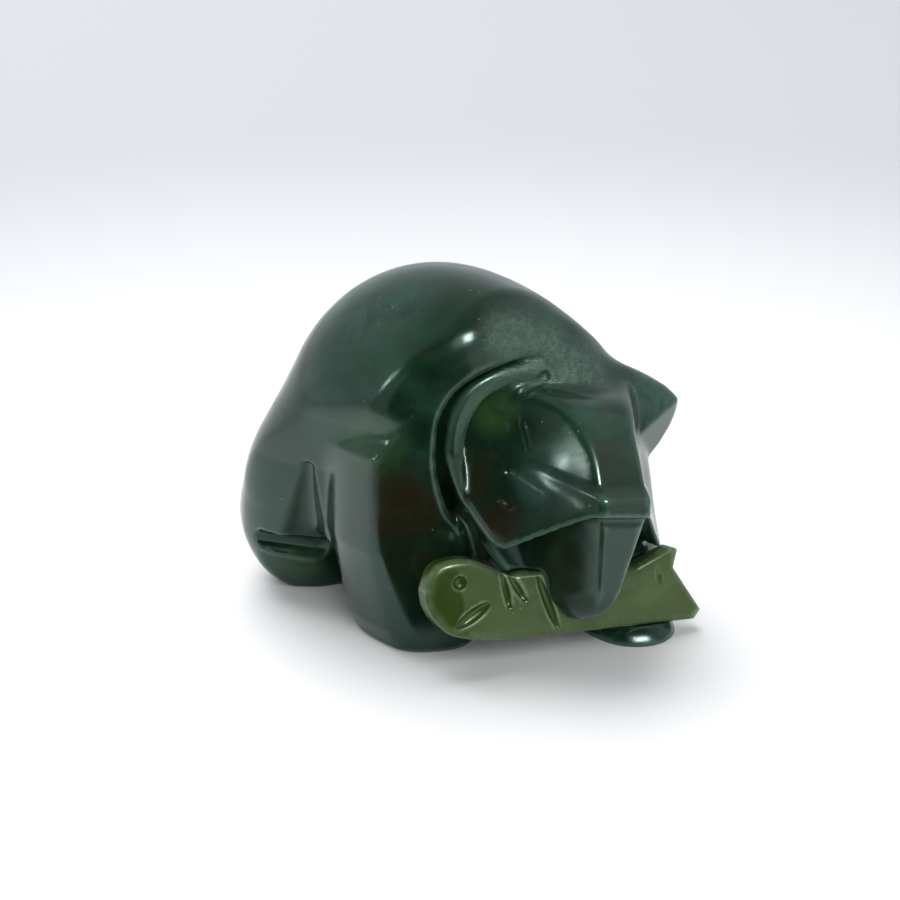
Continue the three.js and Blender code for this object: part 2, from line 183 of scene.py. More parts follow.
# The ruff's outline: its middle height, half width and reach above and below the middle,
# and how much narrower its left side is at each height
RUFF_MIDDLE = -7.5
RUFF_WIDTH = 17.4
RUFF_ABOVE = 11.6
RUFF_BELOW = 17.0
RUFF_HEIGHTS = (-13, -9.3, -7, -4.8, -0.6, 1, 3)
RUFF_SQUEEZE = (1.1, 1.08, 0.956, 0.913, 0.89, 0.93, 1.05)


def ruff(side_raw, up, side):
    x = side_raw * np.where(side_raw > 0, np.interp(up, RUFF_HEIGHTS, RUFF_SQUEEZE), 1)
    upper = up > RUFF_MIDDLE
    height = np.where(upper, RUFF_ABOVE, RUFF_BELOW)
    outline = oval(x, up - RUFF_MIDDLE, RUFF_WIDTH, height, np.where(upper, 3.2, 2.2))
    lower_side = plane(np.stack([0 * side, side, up]), (0, 13.9, -16.1), (0, 0.87, -0.49))
    return cut(outline, lower_side, 3)


# The cheek's plane, and the large ball that dishes it
CHEEK_NORMAL = np.array([0.5009, 0.7814, 0.3706])
CHEEK_POINT = (16.6, 3.5, -10.1)
DISH_RADIUS = 32
DISH_DEPTH = 1.6
DISH_CENTRE = np.array([6.5, 9.6, -7.6]) + CHEEK_NORMAL * (DISH_RADIUS - DISH_DEPTH)
BROW_POINT = (16.6, 0, -10.1)
LEFT_EAR_CORNER = (-0.6, 14.4, -2.4)
HOLLOW_HEIGHTS = (-17, -12, -8, -2, 3)
HOLLOW_INSET = (0.4, 1.2, 2.3, 2.9, 2.7)


def head_coordinates(p):
    return HEAD_AXES @ (p - column(HEAD_CENTRE))


def bear_form(p):
    h = head_coordinates(p)
    f, l, u = h
    side = soft_abs(l, 0.2)
    g = np.stack([f, side, u])
    edge = ruff(l, u, side)

    # cheeks, brow, forehead and ears
    lean = -2.2 + np.maximum(0, -8 - u) * 0.42
    away = g - column(DISH_CENTRE)
    dish = DISH_RADIUS - np.sqrt((away * away).sum(0))
    cheek = cut(plane(g, CHEEK_POINT, CHEEK_NORMAL), dish, SOFT)
    roof = join(plane(g, CHEEK_POINT, (0.12, -0.61, -0.79)), CHEEK_POINT[2] - u, SOFT)
    wedge = cut(cheek, roof, SOFT)
    wedge = cut(wedge, plane(g, BROW_POINT, (1, 0, 0.27)), SOFT)
    wedge = cut(wedge, plane(g, BROW_POINT, (0.803, 0, 0.597)), SOFT)
    wedge = cut(wedge, plane(g, (11.1, 0, -2.7), (0.559, 0, 0.829)), 1.2)
    wedge = cut(wedge, plane(g, (3.9, 0, 1.1), (0.077, 0, 0.997)), 1.5)
    left_ear = f - (lean + 1.5 + np.clip(l / 6, 0, 1) * 1.5)
    left_ear = cut(left_ear, plane(h, LEFT_EAR_CORNER, (0.8, 0.42, -0.2)), 0.3)
    left_ear = cut(left_ear, plane(h, LEFT_EAR_CORNER, (0.85, 0.05, 0.45)), 0.3)
    head = join(wedge, np.where(l > 0, left_ear, f - (lean + 1.5)), SOFT)
    head = cut(head, edge, 1.2)
    head = cut(head, lean - EAR_BACK - f, 0.9)
    head = cut(head, u - 1.6 - 0.12 * l * l, 1.2)
    inset = np.interp(u, HOLLOW_HEIGHTS, HOLLOW_INSET)
    hollow = cut(cut(-cheek, edge + inset, 0.8), roof, SOFT)
    hollow = cut(hollow, lean - EAR_FLOOR - f, 0.9)
    head = cut(head, -cut(hollow, l + 1, 1.0), SOFT)

    # muzzle, jaw and neck
    muzzle = cut(f - 16.5, plane(g, (16.5, 3, -12), (0.33, 1, -0.15)), 0.8)
    muzzle = cut(muzzle, plane(g, (14, 0, -25.6), (0.4, 0, -1)), 4)
    muzzle = cut(muzzle, plane(g, (12, 3.6, -24.2), (0.1, 0.7, -0.75)), 1)
    muzzle = cut(cut(muzzle, u + 8, 1), 1 - f, 1)
    brow_groove = taper(h, (16.9, -5, -11.0), (16.9, 5, -11.0), 0.7, 0.7)
    muzzle = cut(muzzle, -brow_groove, 0.4)
    jaw = ellipsoid(h, (-1, 0, -20), (7, 8.5, 7))
    nape = ellipsoid(h, (-7, 0, -6.5), (9, 14, 11.8))
    neck = join(nape, taper(h, (-8, 0, -4), (4, 0, -7), 10.5, 4.5), 3)

    # the channel behind the ruff, and the whole bear
    channel = cut(cut(edge - 1.2, -(f + 4.2), 1.5), -17 - u, 2)
    d = cut(body(p), -channel, 2)
    d = join(d, neck, 4)
    d = join(d, jaw, 2.5)
    d = join(d, head, 1.5)
    d = join(d, muzzle, 1.2)
    d = cut(d, SEAT_GAP - fish_form(p), 0.1)
    return cut(d, SOLE - p[2], 0.35)


# Cuts and scratches in the bear: two ends, radius, and how deep the middle lies under the surface
CHEEK_OUT = (-0.78, -0.43, 0.45)
BEAR_SCRATCHES = (
    ((-4.4, -16.8, 25.4), (-3.4, -21.9, 23.6), 0.45, 0.22),
    ((-4.7, -13.6, 28.2), (-1.6, -18.8, 28.4), 0.3, 0.12),
    ((-4.7, -14.4, 27.3), (-2.2, -18.7, 27.4), 0.3, 0.1),
    ((-1.7, -15.2, 31.9), (-2.4, -17.6, 27.9), 0.3, 0.12),
    ((-1.5, -16.3, 31.1), (-2.0, -18.3, 28.1), 0.3, 0.12),
    ((-2.8, -14.2, 30.8), (-3.1, -16.0, 28.3), 0.28, 0.08),
    ((-6.5, -17.7, 22.2), (-6.3, -19.2, 21.6), 0.3, 0.12),
    ((-6.3, -19.2, 21.6), (-5.7, -19.6, 22.1), 0.3, 0.12),
)
PETAL_ENDS = ((-0.3, -14.9, 34.9), (3.8, -14.7, 35.9))
HAUNCH_GROOVE = ((-20.6, 16.0, 9.0), (-13.2, 11.6, 7.0))


def bear_carved(p):
    """The bear with its scratches, the flat on its right ear and the groove on its haunch."""
    d = bear_form(p)
    out = column(unit(CHEEK_OUT))
    for a, b, radius, deep in BEAR_SCRATCHES:
        lift = (radius - deep) * out
        mark = taper(p - lift, a, b, radius, radius * 0.8)
        d = cut(d, -mark, 0.08)
    d = cut(d, -taper(p, *PETAL_ENDS, 0.6, 0.7), 0.3)
    return cut(d, -taper(p, *HAUNCH_GROOVE, 1.8, 2.2), 0.3)


# The fish's form, in its own plane: nose at -X, tail at +X
FISH_ORIGIN = (1.68, -22.27, 8.96)
FISH_AXES = np.array(
    [[0.9374, -0.2884, -0.1952], [0.2479, 0.1591, 0.9556], [-0.2445, -0.9442, 0.2206]]
)
FISH_FACE = 0.75  # from the plane of the outline to the fish's outer face
FISH_THICKNESS = 4.6
FISH_STATIONS = (-21, -12, 5, 15, 21)
FISH_THINNING = (0.8, 1, 0.96, 0.72, 0.6)
FISH_ROUNDING = 1.3
FISH_MARGIN = 6.0  # the distance is worked out this far around the fish
FISH_HALF_LENGTH = 21
FISH_HALF_HEIGHT = 7
FISH_NOSE = (-20.6, -0.7)
FISH_BACK = (
    (-19.9, 1.9),
    (-18.3, 3.2),
    (-15.0, 3.7),
    (-11.9, 2.9),
    (-9.0, 1.8),
    (-6.5, 2.3),
    (4.2, 2.4),
    (9.4, 3.4),
)
FISH_TAIL = ((14.4, 6.0), (15.9, 5.7), (15.5, 3.2), (20.4, -2.4), (19.5, -3.8))
FISH_BELLY = ((10.0, -4.8), (0.0, -5.8), (-8.0, -6.7), (-14.9, -6.7), (-18.0, -5.3), (-20.0, -2.9))


def spline(points, steps=4):
    """Points along a smooth curve through the given ones."""
    q = [points[0], *points, points[-1]]
    out = []
    for i in range(1, len(q) - 2):
        a, b, c, d = (np.array(v, float) for v in q[i - 1 : i + 3])
        for s in range(steps):
            t = s / steps
            square, cube = 2 * a - 5 * b + 4 * c - d, 3 * b - a - 3 * c + d
            out.append(0.5 * (2 * b + (c - a) * t + square * t**2 + cube * t**3))
    out.append(np.array(points[-1], float))
    return out


def fish_outline():
    back = spline([FISH_NOSE, *FISH_BACK])
    belly = spline([*FISH_BELLY, FISH_NOSE])
    return np.array([*back, *FISH_TAIL, *belly[:-1]])


FISH_OUTLINE = fish_outline()


def outline_distance(x, y, points):
    """Distance to a closed outline, negative inside."""
    best = np.full(x.shape, 1e9)
    inside = np.zeros(x.shape, bool)
    for a, b in zip(points, np.roll(points, 1, axis=0)):
        e = b - a
        wx, wy = x - a[0], y - a[1]
        t = np.clip((wx * e[0] + wy * e[1]) / (e @ e), 0, 1)
        dx, dy = wx - e[0] * t, wy - e[1] * t
        best = np.minimum(best, dx * dx + dy * dy)
        above, below = y >= a[1], y < b[1]
        turn = e[0] * wy > e[1] * wx
        inside ^= (above & below & turn) | (~above & ~below & ~turn)
    return np.where(inside, -1, 1) * np.sqrt(best)


def fish_coordinates(p):
    return FISH_AXES @ (p - column(FISH_ORIGIN))


def fish_form(p):
    x, y, z = fish_coordinates(p)
    middle = FISH_FACE - FISH_THICKNESS / 2
    thin = np.interp(x, FISH_STATIONS, FISH_THINNING)
    near = np.abs(z - middle) < FISH_MARGIN
    near &= np.abs(x) < FISH_HALF_LENGTH + FISH_MARGIN
    near &= np.abs(y) < FISH_HALF_HEIGHT + FISH_MARGIN
    d = np.full(x.shape, FISH_MARGIN)
    if near.any():
        around = outline_distance(x[near], y[near], FISH_OUTLINE)
        face = np.abs(z[near] - middle) - thin[near] * FISH_THICKNESS / 2
        d[near] = cut(around, face, FISH_ROUNDING)
    return d


# Gouges in the fish's face, from its eye to its tail:
# x, y, half length, half width, depth and angle in degrees
FISH_GOUGES = (
    (-16.2, 0.6, 1.0, 0.95, 0.85, 0),
    (-14.0, -3.6, 2.7, 0.85, 0.8, 38),
    (-9.6, 0.0, 2.7, 0.5, 0.9, -72),
    (-8.0, 0.2, 2.3, 0.5, 0.8, -50),
    (-3.4, -1.6, 3.9, 0.6, 0.8, -62),
    (12.9, 2.2, 1.7, 0.5, 0.8, -80),
    (11.2, 2.4, 0.7, 0.7, 0.35, 0),
)


def fish_carved(p):
    d = fish_form(p)
    h = fish_coordinates(p)
    for x, y, long, wide, deep, angle in FISH_GOUGES:
        c, s = math.cos(math.radians(angle)), math.sin(math.radians(angle))
        dx, dy = h[0] - x, h[1] - y
        q = np.stack([dx * c + dy * s, dy * c - dx * s, h[2] - FISH_FACE])
        d = cut(d, -ellipsoid(q, (0, 0, 0), (long, wide, deep)), 0.15)
    return d


# Fine mesh of a form
def grid_points(low, step, count):
    axes = [low[i] + step * np.arange(count[i]) for i in range(3)]
    return np.stack([a.ravel() for a in np.meshgrid(*axes, indexing="ij")])


def sample(form, low, high, cell):
    """Values of the form on a fine grid, worked out only in the blocks near its surface."""
    low = np.asarray(low, float)
    count = np.ceil((np.asarray(high) - low) / (cell * BLOCK)).astype(int)
    coarse = form(grid_points(low, cell * BLOCK, count + 1)).reshape(count + 1)
    reach = 1.9 * cell * BLOCK
    near = np.zeros(count, bool)
    corners = [(i, j, k) for i in (0, 1) for j in (0, 1) for k in (0, 1)]
    for i, j, k in corners:
        near |= np.abs(coarse[i : i + count[0], j : j + count[1], k : k + count[2]]) < reach
    fine = count * BLOCK

    def spread(a):
        return a.repeat(BLOCK, 0).repeat(BLOCK, 1).repeat(BLOCK, 2)

    value = np.ones(fine + 1)
    value[:-1, :-1, :-1] = spread(coarse[:-1, :-1, :-1])
    wanted = np.zeros(fine + 1, bool)
    block = spread(near)
    for i, j, k in corners:
        wanted[i : i + fine[0], j : j + fine[1], k : k + fine[2]] |= block
    at = np.argwhere(wanted)
    value[wanted] = form((low + at * cell).T)
    return value, low


def net(form, low, high, cell):
    """Vertices (three rows) and quads of the form's surface."""
    value, low = sample(form, low, high, cell)
    cells = np.array(value.shape) - 1
    keys, spots = [], []
    for axis in range(3):
        b, c = (axis + 1) % 3, (axis + 2) % 3
        first = [slice(None)] * 3
        second = [slice(None)] * 3
        first[axis], second[axis] = slice(None, -1), slice(1, None)
        v0, v1 = value[tuple(first)], value[tuple(second)]
        at = np.argwhere((v0 < 0) != (v1 < 0))
        at = at[(at[:, b] > 0) & (at[:, b] < cells[b]) & (at[:, c] > 0) & (at[:, c] < cells[c])]
        a0, a1 = v0[tuple(at.T)], v1[tuple(at.T)]
        spot = low + at * cell
        spot[:, axis] += cell * a0 / (a0 - a1)
        ring = []
        for db, dc in ((0, 0), (1, 0), (1, 1), (0, 1)):
            near = at.copy()
            near[:, b] -= db
            near[:, c] -= dc
            ring.append(np.ravel_multi_index(near.T, cells))
        ring = np.stack(ring, 1)
        ring[a0 >= 0] = ring[a0 >= 0][:, ::-1]
        keys.append(ring)
        spots.append(np.repeat(spot[:, None], 4, 1))
    keys = np.concatenate(keys)
    spots = np.concatenate(spots).reshape(-1, 3)
    _, index = np.unique(keys.ravel(), return_inverse=True)
    hits = np.bincount(index)
    points = np.stack([np.bincount(index, spots[:, m]) / hits for m in range(3)])
    return points, index.reshape(-1, 4)


def normals(form, p, reach=0.02):
    """Directions out of the form, and how fast its value grows along them."""
    steps = reach * np.eye(3)
    g = np.stack([form(p + column(s)) - form(p - column(s)) for s in steps])
    size = np.sqrt((g * g).sum(0))
    return g / size, size / (2 * reach)


def settle(form, p, cell, rounds=1):
    """Points moved onto the form's surface."""
    for _ in range(rounds):
        n, slope = normals(form, p)
        move = np.clip(form(p) / np.maximum(slope, 0.2), -0.5 * cell, 0.5 * cell)
        p = p - n * move
    return p


def neighbours(quads, values):
    """Mean of each vertex's neighbours, for rows of values."""
    a = quads.ravel()
    b = np.roll(quads, 1, axis=1).ravel()
    size = values.shape[1]
    count = np.bincount(a, minlength=size) + np.bincount(b, minlength=size)
    total = [np.bincount(a, row[b], size) + np.bincount(b, row[a], size) for row in values]
    return np.stack(total) / count


def fine_mesh(form, box, cell):
    """A form's vertices, slid along the surface until they are evenly spread, and its quads."""
    p, quads = net(form, *box, cell)
    p = settle(form, p, cell, 2)
    for _ in range(3):
        n, _ = normals(form, p)
        move = neighbours(quads, p) - p
        move -= n * (n * move).sum(0)
        p = settle(form, p + 0.6 * move, cell)
    return p, quads


def edge_mask(form, p, quads, cell, reach):
    """Above zero on the form's edges, below zero in its corners."""
    n, _ = normals(form, p, reach)
    bend = (n * (p - neighbours(quads, p))).sum(0) / cell
    for _ in range(2):
        bend = neighbours(quads, bend[None])[0]
    return np.clip(bend * 8, -1, 1)


def make_object(name, p, quads, attributes):
    """A smooth object of triangles, each quad split along its shorter diagonal."""
    mesh = bpy.data.meshes.new(name)
    points = (p + column(SHIFT)) * MM
    a, b, c, d = (p[:, quads[:, i]] for i in range(4))
    straight = ((a - c) ** 2).sum(0) <= ((b - d) ** 2).sum(0)
    first = np.where(straight[:, None], quads[:, [0, 1, 2]], quads[:, [1, 2, 3]])
    second = np.where(straight[:, None], quads[:, [0, 2, 3]], quads[:, [1, 3, 0]])
    faces = np.concatenate([first, second])
    mesh.from_pydata(points.T.tolist(), [], faces.tolist())
    mesh.shade_smooth()
    for key, values in attributes.items():
        layer = mesh.attributes.new(key, "FLOAT", "POINT")
        layer.data.foreach_set("value", values.astype(np.float32))
    mesh.update()
    piece = bpy.data.objects.new(name, mesh)
    bpy.context.scene.collection.objects.link(piece)
    return piece


def smooth_step(x, low, high):
    t = np.clip((x - low) / (high - low), 0, 1)
    return t * t * (3 - 2 * t)


def patch(points, spots):
    """How strongly each point lies within soft balls, given as centre, radius and strength."""
    total = np.zeros(points.shape[1])
    for centre, radius, strength in spots:
        away = points - column(centre)
        fade = 1 - smooth_step(np.sqrt((away * away).sum(0)), 0.35 * radius, radius)
        total = np.maximum(total, strength * fade)
    return total


# Patches of colour on the bear: partly the stone's own tone, partly painted light and shade
# Darker brown: painted shade on the front of the right foreleg, low on the right cheek, under the
# jaw and on the muzzle's side, along with the stone's own brown
BROWN_AND_PAINTED_SHADE_SPOTS = (
    ((-14.6, -6.9, 20.5), 8.0, 1.0),
    ((-13.0, -8.5, 13.0), 6.0, 0.5),
    ((-7.6, -19.0, 20.3), 4.5, 0.9),
    ((-7.8, -13.3, 24.1), 4.0, 0.9),
    ((-1.8, -24.1, 13.8), 7.0, 0.5),
    ((2.1, -29.0, 26.5), 6.0, 0.5),
    ((12.0, 20.0, 30.0), 8.0, 0.6),
)
# Lighter green: a painted glow of light through thin stone about the right ear, above it and under
# the shoulder ridge, and elsewhere the stone's own green
GREEN_AND_PAINTED_GLOW_SPOTS = (
    ((-16.4, -4.6, 29.2), 6.0, 0.8),
    ((-4.0, -13.0, 33.0), 5.0, 1.0),
    ((0.5, -13.3, 40.5), 4.0, 0.6),
    ((-2.4, -12.8, 37.1), 3.0, 0.8),
    ((-14.9, 14.1, 4.5), 4.0, 0.8),
    ((14.0, -2.0, 18.0), 9.0, 0.6),
    ((-4.0, 27.0, 20.0), 9.0, 0.6),
)
# Lighter teal: painted light on the right cheek's dish and on the far ear; the other two patches
# lie on the back
TEAL_AND_PAINTED_LIGHT_SPOTS = (
    ((-3.0, -20.5, 24.5), 4.0, 0.5),
    ((23.0, -16.0, 31.0), 8.0, 1.0),
    ((-9.0, 4.0, 44.0), 12.0, 0.5),
    ((6.0, 18.0, 38.0), 10.0, 0.5),
)
# The rough tool marks on the nape, behind the ruff's edge
ROUGH_SPOTS = (
    ((-1.0, -13.0, 41.2), 6.0, 0.8),
    ((0.5, -13.6, 40.5), 6.5, 1.0),
    ((4.3, -13.9, 38.4), 6.5, 1.0),
    ((8.8, -15.7, 35.5), 6.0, 0.9),
)

bear_points, bear_quads = fine_mesh(bear_carved, BEAR_BOX, BEAR_CELL)
behind_ruff = smooth_step(-head_coordinates(bear_points)[0], -1.6, 0.2)
masks = {
    # Painted highlight: the edges, which the material lightens.
    "edge": edge_mask(bear_carved, bear_points, bear_quads, BEAR_CELL, 0.25),
    "rough": patch(bear_points, ROUGH_SPOTS) * behind_ruff,
    # Brown patches: the stone's brown, and painted shade in the darker zones.
    "brown_and_painted_shade": patch(bear_points, BROWN_AND_PAINTED_SHADE_SPOTS),
    # Green patches: the stone's green, and a painted glow of light through thin stone.
    "green_and_painted_glow": patch(bear_points, GREEN_AND_PAINTED_GLOW_SPOTS),
    # Teal patches: painted light on the right cheek and the far ear.
    "teal_and_painted_light": patch(bear_points, TEAL_AND_PAINTED_LIGHT_SPOTS),
}
bear = make_object("bear_carving", bear_points, bear_quads, masks)

fish_points, fish_quads = fine_mesh(fish_carved, FISH_BOX, FISH_CELL)
# The fish's edges, which its material lightens as a painted highlight.
fish_edge = edge_mask(fish_carved, fish_points, fish_quads, FISH_CELL, 0.2)
fish = make_object("fish_carving", fish_points, fish_quads, {"edge": fish_edge})


class Nodes:
    """Short calls for making a material's nodes."""

    def __init__(self, name):
        self.material = bpy.data.materials.new(name)
        self.material.use_nodes = True
        self.tree = self.material.node_tree
        self.shader = self.tree.nodes["Principled BSDF"]

    def add(self, kind, **settings):
        node = self.tree.nodes.new(kind)
        for key, value in settings.items():
            setattr(node, key, value)
        return node

    def feed(self, node, socket, value):
        if isinstance(value, bpy.types.NodeSocket):
            self.tree.links.new(value, node.inputs[socket])
        else:
            node.inputs[socket].default_value = value
        return node

    def place(self):
        return self.add("ShaderNodeTexCoord").outputs["Object"]

    def stretched(self, scale, rotation=(0, 0, 0)):
        node = self.add("ShaderNodeMapping")
        self.feed(node, "Vector", self.place())
        self.feed(node, "Scale", scale)
        self.feed(node, "Rotation", rotation)
        return node.outputs["Vector"]

    def noise(self, vector, scale, detail=3.0, roughness=0.55, distortion=0.0):
        node = self.add("ShaderNodeTexNoise")
        self.feed(node, "Vector", vector)
        self.feed(node, "Scale", scale)
        self.feed(node, "Detail", detail)
        self.feed(node, "Roughness", roughness)
        self.feed(node, "Distortion", distortion)
        return node.outputs["Fac"]

    def specks(self, vector, scale):
        node = self.add("ShaderNodeTexVoronoi")
        self.feed(node, "Vector", vector)
        self.feed(node, "Scale", scale)
        return node.outputs["Distance"]

    def remap(self, value, a, b, c=0.0, d=1.0):
        node = self.add("ShaderNodeMapRange", interpolation_type="SMOOTHSTEP")
        self.feed(node, "Value", value)
        for socket, number in (("From Min", a), ("From Max", b), ("To Min", c), ("To Max", d)):
            self.feed(node, socket, number)
        return node.outputs["Result"]

    def maths(self, operation, a, b):
        node = self.add("ShaderNodeMath", operation=operation)
        self.feed(node, 0, a)
        self.feed(node, 1, b)
        return node.outputs[0]

    def mix(self, amount, a, b):
        node = self.add("ShaderNodeMix", data_type="RGBA")
        self.feed(node, 0, amount)
        self.feed(node, 6, a)
        self.feed(node, 7, b)
        return node.outputs[2]

    def attribute(self, name):
        return self.add("ShaderNodeAttribute", attribute_name=name).outputs["Fac"]

    def bump(self, height, distance, strength=1.0, under=None):
        node = self.add("ShaderNodeBump")
        self.feed(node, "Height", height)
        self.feed(node, "Distance", distance)
        self.feed(node, "Strength", strength)
        if under is not None:
            self.feed(node, "Normal", under)
        return node.outputs["Normal"]


DUST = (0.3, 0.35, 0.31)
JADE_IOR = 1.61
HAIR_DEPTH = 0.000014  # the depths of the scratches, pits and tool marks are in metres
PIT_DEPTH = 0.00003
TOOL_MARK_DEPTH = 0.0002


def jade(name, deep, cloud, warm, pale_rough_and_edge_highlight, roughness, subsurface, reach, tint, patches):
    """Polished nephrite: clouds, warm flecks, fine scratches and pits, colour patches that are
    partly painted light and shade, and a painted highlight on the edges.
    """
    m = Nodes(name)
    clouds = m.remap(m.noise(m.place(), 55, 4, 0.6, 0.8), 0.42, 0.68)
    flecks = m.remap(m.noise(m.stretched((1, 1, 1.6)), 90, 3, 0.6, 1.5), 0.52, 0.7)
    wisps = m.remap(m.noise(m.stretched((1, 2.6, 1), (0.3, 0.5, 0.2)), 240, 4, 0.65), 0.5, 0.75)
    base = m.mix(clouds, (*deep, 1), (*cloud, 1))
    base = m.mix(m.maths("MULTIPLY", flecks, 0.7), base, (*warm, 1))
    base = m.mix(m.maths("MULTIPLY", wisps, 0.35), base, (*cloud, 1))
    uneven = m.remap(m.noise(m.place(), 170, 4, 0.65, 1.0), 0.3, 0.6, 0.35, 1.0)
    # Each patch mixes its colour in: partly the stone's own tone, partly painted light and shade.
    for key, colour in patches.items():
        base = m.mix(m.maths("MULTIPLY", m.attribute(key), uneven), base, (*colour, 1))
    # Painted highlight: the edges are lightened toward the pale edge colour.
    edge = m.remap(m.attribute("edge"), 0.1, 0.7)
    base = m.mix(m.maths("MULTIPLY", edge, 0.75), base, (*pale_rough_and_edge_highlight, 1))
    worn = m.attribute("rough")
    chips = m.remap(m.noise(m.place(), 1300, 3, 0.7), 0.35, 0.65, 0.25, 1.0)
    # The same pale colour on the rough tool marks, where it is the stone's own.
    base = m.mix(m.maths("MULTIPLY", worn, chips), base, (*pale_rough_and_edge_highlight, 1))
    dots = m.remap(m.specks(m.place(), 620), 0.0, 0.11, 1.0, 0.0)
    dusty = m.remap(m.noise(m.place(), 300), 0.52, 0.6)
    dust = m.maths("MULTIPLY", dots, dusty)
    base = m.mix(m.maths("MULTIPLY", dust, 0.5), base, (*DUST, 1))
    m.feed(m.shader, "Base Color", base)

    smear = m.noise(m.stretched((1, 1, 2.2), (0.2, 0.4, 0)), 130, 4, 0.6)
    gloss = m.remap(smear, 0.3, 0.75, roughness * 0.75, roughness * 1.7)
    gloss = m.maths("ADD", gloss, m.maths("MULTIPLY", worn, 0.3))
    m.feed(m.shader, "Roughness", gloss)

    hair_a = m.noise(m.stretched((1, 22, 22), (0.4, 0.2, 0.9)), 420, 2)
    hair_b = m.noise(m.stretched((24, 1, 24), (0.1, 0.7, 0.3)), 380, 2)
    pits = m.remap(m.specks(m.place(), 900), 0.0, 0.12)
    grain = m.noise(m.stretched((1, 1, 5), (0.2, 0.1, 0.6)), 1500, 3)
    normal = m.bump(hair_a, HAIR_DEPTH, 0.35)
    normal = m.bump(hair_b, HAIR_DEPTH, 0.35, normal)
    normal = m.bump(pits, PIT_DEPTH, 0.3, normal)
    normal = m.bump(m.maths("MULTIPLY", grain, worn), TOOL_MARK_DEPTH, 0.9, normal)
    m.feed(m.shader, "Normal", normal)
    m.feed(m.shader, "IOR", JADE_IOR)
    m.feed(m.shader, "Specular Tint", (*tint, 1))
    m.feed(m.shader, "Subsurface Weight", subsurface)
    m.feed(m.shader, "Subsurface Radius", (0.7, 1.0, 0.5))
    m.feed(m.shader, "Subsurface Scale", reach)
    return m.material


dark_jade = jade(
    "dark_jade",
    deep=(0.0034, 0.0145, 0.0072),
    cloud=(0.011, 0.038, 0.0215),
    warm=(0.016, 0.02, 0.006),
    # Pale colour for a painted highlight on the edges, and the rough marks' own colour.
    pale_rough_and_edge_highlight=(0.05, 0.1, 0.07),
    roughness=0.15,
    subsurface=0.0,
    reach=0.001,
    tint=(0.74, 1.0, 0.91),
    patches={
        # Brown: the stone's brown, and painted shade.
        "brown_and_painted_shade": (0.014, 0.009, 0.0035),
        # Green: the stone's green, and a painted glow.
        "green_and_painted_glow": (0.022, 0.056, 0.016),
        # Teal: painted light on the cheek and the far ear.
        "teal_and_painted_light": (0.034, 0.077, 0.06),
    },
)
light_jade = jade(
    "light_jade",
    deep=(0.03, 0.056, 0.009),
    cloud=(0.055, 0.082, 0.022),
    warm=(0.036, 0.05, 0.006),
    # Pale colour for a painted highlight on the fish's edges.
    pale_rough_and_edge_highlight=(0.15, 0.22, 0.13),
    roughness=0.16,
    subsurface=0.25,
    reach=0.002,
    tint=(0.75, 0.95, 0.62),
    patches={},
)

for piece, material, slot in ((bear, dark_jade, "dark_jade"), (fish, light_jade, "light_jade")):
    piece.data.materials.append(material)
    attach(piece, "root")
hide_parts("bear")
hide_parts("fish")


# The camera, from the bear's front right. The picture's lengths are in pixels.
CAMERA_AT = Vector((-224.36, -261.89, 160.6)) * MM
AZIMUTH = math.radians(-40)
ELEVATION = math.radians(25)
SENSOR = 36  # mm
PICTURE = 900
FOCAL = 2774
RAISED = 150  # how far above the carving the camera looks
back = Vector(
    (
        math.sin(AZIMUTH) * math.cos(ELEVATION),
        -math.cos(AZIMUTH) * math.cos(ELEVATION),
        math.sin(ELEVATION),
    )
)
right = Vector((math.cos(AZIMUTH), math.sin(AZIMUTH), 0))
look = (-back + RAISED / FOCAL * right.cross(-back)).normalized()
camera = bpy.data.objects.new("camera", bpy.data.cameras.new("camera"))
camera.data.sensor_width = SENSOR
camera.data.lens = SENSOR * FOCAL / PICTURE
camera.location = CAMERA_AT
camera.rotation_euler = look.to_track_quat("-Z", "Y").to_euler()
camera.data.clip_start = 0.01
bpy.context.scene.collection.objects.link(camera)
bpy.context.scene.camera = camera

FLOOR_SIZE = 3.0  # half the floor's width, in metres
# Painted light on the floor: its colour about the carving and far from it.
FLOOR_NEAR = (0.8, 0.802, 0.81)
FLOOR_FAR = (0.475, 0.488, 0.51)


def make_sheet(name, corners):
    mesh = bpy.data.meshes.new(name)
    mesh.from_pydata(corners, [], [(0, 1, 2, 3)])
    piece = bpy.data.objects.new(name, mesh)
    bpy.context.scene.collection.objects.link(piece)
    return piece


def make_floor():
    """A pale floor with painted light: bright about the carving, darker away from it."""
    signs = ((-1, -1), (1, -1), (1, 1), (-1, 1))
    piece = make_sheet("floor", [(x * FLOOR_SIZE, y * FLOOR_SIZE, 0) for x, y in signs])
    m = Nodes("floor")
    far = m.add("ShaderNodeVectorMath", operation="LENGTH")
    m.feed(far, 0, m.place())
    fade = m.remap(far.outputs["Value"], 0.04, 0.25)
    m.feed(m.shader, "Base Color", m.mix(fade, (*FLOOR_NEAR, 1), (*FLOOR_FAR, 1)))
    m.feed(m.shader, "Roughness", 0.75)
    m.feed(m.shader, "Specular IOR Level", 0.2)
    piece.data.materials.append(m.material)
    return piece


def make_card(name, at, corners, shade=0.009):
    """An upright card, square to the camera and unseen by it, that shows in the polished stone."""
    piece = make_sheet(name, [(x, 0, z) for x, z in corners])
    piece.location = at
    piece.rotation_euler = (0, 0, AZIMUTH)
    m = Nodes(name)
    m.feed(m.shader, "Base Color", (shade, shade, shade, 1))
    m.feed(m.shader, "Roughness", 0.9)
    m.feed(m.shader, "Specular IOR Level", 0.0)
    piece.data.materials.append(m.material)
    piece.visible_camera = False
    piece.visible_diffuse = False
    piece.visible_shadow = False
    return piece


